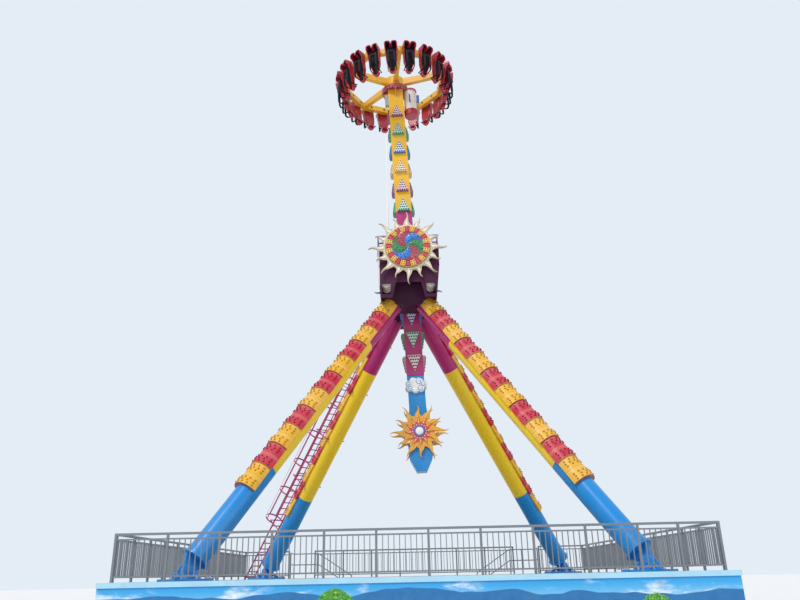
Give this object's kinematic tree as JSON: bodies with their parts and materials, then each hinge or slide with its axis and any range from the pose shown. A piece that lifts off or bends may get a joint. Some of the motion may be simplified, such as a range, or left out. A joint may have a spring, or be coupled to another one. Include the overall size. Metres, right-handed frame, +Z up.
{
  "type": "pendulum ride",
  "caption": "Fairground pendulum ride on a fenced platform: braced tube legs, sunburst hubs, counterweighted arm and a turning ring of outward-facing seats with shoulder restraints.",
  "frame": {"origin": "centre of the platform's underside, below the swing axle, on the ground", "axes": "+Z up, -Y the front with the unbroken fence, +Y the back with the stairs, axle along Y"},
  "size_m": [16.26, 17.66, 22.8601],
  "materials": {
    "painted_masonry": "painted masonry",
    "pale_blue_coping": "painted concrete",
    "concrete": "cast concrete",
    "stainless_tube": "brushed",
    "leg_paint": "gloss paint in three colours",
    "blue_paint": "gloss paint",
    "clad_paint": "moulded cladding in two colours",
    "purple_paint": "gloss paint",
    "cowl_paint": "gloss paint",
    "white_paint": "gloss paint",
    "sun_paint": "moulded and painted",
    "disc_paint": "moulded and painted",
    "magenta_paint": "gloss paint",
    "yellow_paint": "gloss paint",
    "board_paint": "painted in six colours",
    "cloud_paint": "moulded and painted",
    "crest_paint": "moulded and painted",
    "crimson_paint": "gloss paint",
    "grey_paint": "powder coat",
    "seat_moulding": "moulded",
    "cushion_vinyl": "padded vinyl",
    "harness_foam": "moulded foam",
    "machined_steel": "machined",
    "motor_paint": "gloss paint"
  },
  "bodies": {
    "base": {"platform": "painted_masonry", "coping": "pale_blue_coping", "fence_front": "stainless_tube", "fence_back": "stainless_tube", "fence_left": "stainless_tube", "fence_right": "stainless_tube", "stairs": "concrete", "stair_guards": "stainless_tube", "leg_front_left": "leg_paint", "leg_front_right": "leg_paint", "leg_back_left": "leg_paint", "leg_back_right": "leg_paint", "leg_feet": "blue_paint", "leg_cladding": "clad_paint", "tower_heads": "magenta_paint", "bearing_housings": "purple_paint", "head_cowls": "cowl_paint", "balcony_rails": "purple_paint", "swing_drives": "motor_paint", "lightning_rod": "white_paint", "sun_plates": "sun_paint", "sun_discs": "disc_paint", "ladder": "magenta_paint", "ladder_cage": "magenta_paint"},
    "pendulum": {"swing_shaft": "machined_steel", "hub_arm": "magenta_paint", "upper_arm": "yellow_paint", "counterweight": "blue_paint", "upper_lamp_boards": "board_paint", "lower_lamp_boards": "board_paint", "cloud_ornaments": "cloud_paint", "crest_ornaments": "crest_paint", "slew_flange": "crimson_paint", "spin_motor": "motor_paint", "arm_cabinet": "grey_paint"},
    "gondola": {"gondola_hub": "yellow_paint", "ring_beam": "yellow_paint", "spokes": "yellow_paint", "seat_shells": "seat_moulding", "seat_cushions": "cushion_vinyl"},
    "restraint_01": {"harness_01": "harness_foam"},
    "restraint_02": {"harness_02": "harness_foam"},
    "restraint_03": {"harness_03": "harness_foam"},
    "restraint_04": {"harness_04": "harness_foam"},
    "restraint_05": {"harness_05": "harness_foam"},
    "restraint_06": {"harness_06": "harness_foam"},
    "restraint_07": {"harness_07": "harness_foam"},
    "restraint_08": {"harness_08": "harness_foam"},
    "restraint_09": {"harness_09": "harness_foam"},
    "restraint_10": {"harness_10": "harness_foam"},
    "restraint_11": {"harness_11": "harness_foam"},
    "restraint_12": {"harness_12": "harness_foam"},
    "restraint_13": {"harness_13": "harness_foam"},
    "restraint_14": {"harness_14": "harness_foam"},
    "restraint_15": {"harness_15": "harness_foam"},
    "restraint_16": {"harness_16": "harness_foam"},
    "restraint_17": {"harness_17": "harness_foam"},
    "restraint_18": {"harness_18": "harness_foam"},
    "restraint_19": {"harness_19": "harness_foam"},
    "restraint_20": {"harness_20": "harness_foam"}
  },
  "joints": [
    {"name": "swing", "type": "hinge", "parent": "base", "child": "pendulum", "pos_m": [0, 0, 13.13], "axis": [0, 1, 0], "continuous": true},
    {"name": "gondola_spin", "type": "hinge", "parent": "pendulum", "child": "gondola", "pos_m": [-0.37144, 0, 21.99222], "axis": [-0.0419, 0, 0.9991], "continuous": true},
    {"name": "harness_01_hinge", "type": "hinge", "parent": "gondola", "child": "restraint_01", "pos_m": [0.21263, -2.0622, 21.62135], "axis": [0.9632, 0.2656, 0.0404], "range_deg": [0, 75]},
    {"name": "harness_02_hinge", "type": "hinge", "parent": "gondola", "child": "restraint_02", "pos_m": [0.82155, -1.78574, 21.64687], "axis": [0.8341, 0.5505, 0.035], "range_deg": [0, 75]},
    {"name": "harness_03_hinge", "type": "hinge", "parent": "gondola", "child": "restraint_03", "pos_m": [1.31531, -1.33448, 21.66757], "axis": [0.6233, 0.7815, 0.0261], "range_deg": [0, 75]},
    {"name": "harness_04_hinge", "type": "hinge", "parent": "gondola", "child": "restraint_04", "pos_m": [1.64558, -0.75259, 21.68141], "axis": [0.3515, 0.9361, 0.0147], "range_deg": [0, 75]},
    {"name": "harness_05_hinge", "type": "hinge", "parent": "gondola", "child": "restraint_05", "pos_m": [1.78003, -0.09703, 21.68705], "axis": [0.0453, 0.999, 0.0019], "range_deg": [0, 75]},
    {"name": "harness_06_hinge", "type": "hinge", "parent": "gondola", "child": "restraint_06", "pos_m": [1.70549, 0.56803, 21.68392], "axis": [-0.2653, 0.9641, -0.0111], "range_deg": [0, 75]},
    {"name": "harness_07_hinge", "type": "hinge", "parent": "gondola", "child": "restraint_07", "pos_m": [1.42928, 1.17748, 21.67234], "axis": [-0.55, 0.8348, -0.0231], "range_deg": [0, 75]},
    {"name": "harness_08_hinge", "type": "hinge", "parent": "gondola", "child": "restraint_08", "pos_m": [0.97841, 1.67167, 21.65345], "axis": [-0.7808, 0.6239, -0.0327], "range_deg": [0, 75]},
    {"name": "harness_09_hinge", "type": "hinge", "parent": "gondola", "child": "restraint_09", "pos_m": [0.39703, 2.00223, 21.62908], "axis": [-0.9352, 0.3518, -0.0392], "range_deg": [0, 75]},
    {"name": "harness_10_hinge", "type": "hinge", "parent": "gondola", "child": "restraint_10", "pos_m": [-0.25795, 2.1368, 21.60163], "axis": [-0.9981, 0.0454, -0.0418], "range_deg": [0, 75]},
    {"name": "harness_11_hinge", "type": "hinge", "parent": "gondola", "child": "restraint_11", "pos_m": [-0.92242, 2.0622, 21.57378], "axis": [-0.9632, -0.2656, -0.0404], "range_deg": [0, 75]},
    {"name": "harness_12_hinge", "type": "hinge", "parent": "gondola", "child": "restraint_12", "pos_m": [-1.53134, 1.78574, 21.54826], "axis": [-0.8341, -0.5505, -0.035], "range_deg": [0, 75]},
    {"name": "harness_13_hinge", "type": "hinge", "parent": "gondola", "child": "restraint_13", "pos_m": [-2.0251, 1.33448, 21.52756], "axis": [-0.6233, -0.7815, -0.0261], "range_deg": [0, 75]},
    {"name": "harness_14_hinge", "type": "hinge", "parent": "gondola", "child": "restraint_14", "pos_m": [-2.35537, 0.75259, 21.51372], "axis": [-0.3515, -0.9361, -0.0147], "range_deg": [0, 75]},
    {"name": "harness_15_hinge", "type": "hinge", "parent": "gondola", "child": "restraint_15", "pos_m": [-2.48982, 0.09703, 21.50809], "axis": [-0.0453, -0.999, -0.0019], "range_deg": [0, 75]},
    {"name": "harness_16_hinge", "type": "hinge", "parent": "gondola", "child": "restraint_16", "pos_m": [-2.41529, -0.56803, 21.51121], "axis": [0.2653, -0.9641, 0.0111], "range_deg": [0, 75]},
    {"name": "harness_17_hinge", "type": "hinge", "parent": "gondola", "child": "restraint_17", "pos_m": [-2.13907, -1.17748, 21.52279], "axis": [0.55, -0.8348, 0.0231], "range_deg": [0, 75]},
    {"name": "harness_18_hinge", "type": "hinge", "parent": "gondola", "child": "restraint_18", "pos_m": [-1.6882, -1.67167, 21.54168], "axis": [0.7808, -0.6239, 0.0327], "range_deg": [0, 75]},
    {"name": "harness_19_hinge", "type": "hinge", "parent": "gondola", "child": "restraint_19", "pos_m": [-1.10682, -2.00223, 21.56605], "axis": [0.9352, -0.3518, 0.0392], "range_deg": [0, 75]},
    {"name": "harness_20_hinge", "type": "hinge", "parent": "gondola", "child": "restraint_20", "pos_m": [-0.45184, -2.1368, 21.5935], "axis": [0.9981, -0.0454, 0.0418], "range_deg": [0, 75]}
  ],
  "couplings": [
    {"joint": "harness_02_hinge", "follows": "harness_01_hinge", "ratio": 1},
    {"joint": "harness_03_hinge", "follows": "harness_01_hinge", "ratio": 1},
    {"joint": "harness_04_hinge", "follows": "harness_01_hinge", "ratio": 1},
    {"joint": "harness_05_hinge", "follows": "harness_01_hinge", "ratio": 1},
    {"joint": "harness_06_hinge", "follows": "harness_01_hinge", "ratio": 1},
    {"joint": "harness_07_hinge", "follows": "harness_01_hinge", "ratio": 1},
    {"joint": "harness_08_hinge", "follows": "harness_01_hinge", "ratio": 1},
    {"joint": "harness_09_hinge", "follows": "harness_01_hinge", "ratio": 1},
    {"joint": "harness_10_hinge", "follows": "harness_01_hinge", "ratio": 1},
    {"joint": "harness_11_hinge", "follows": "harness_01_hinge", "ratio": 1},
    {"joint": "harness_12_hinge", "follows": "harness_01_hinge", "ratio": 1},
    {"joint": "harness_13_hinge", "follows": "harness_01_hinge", "ratio": 1},
    {"joint": "harness_14_hinge", "follows": "harness_01_hinge", "ratio": 1},
    {"joint": "harness_15_hinge", "follows": "harness_01_hinge", "ratio": 1},
    {"joint": "harness_16_hinge", "follows": "harness_01_hinge", "ratio": 1},
    {"joint": "harness_17_hinge", "follows": "harness_01_hinge", "ratio": 1},
    {"joint": "harness_18_hinge", "follows": "harness_01_hinge", "ratio": 1},
    {"joint": "harness_19_hinge", "follows": "harness_01_hinge", "ratio": 1},
    {"joint": "harness_20_hinge", "follows": "harness_01_hinge", "ratio": 1}
  ]
}
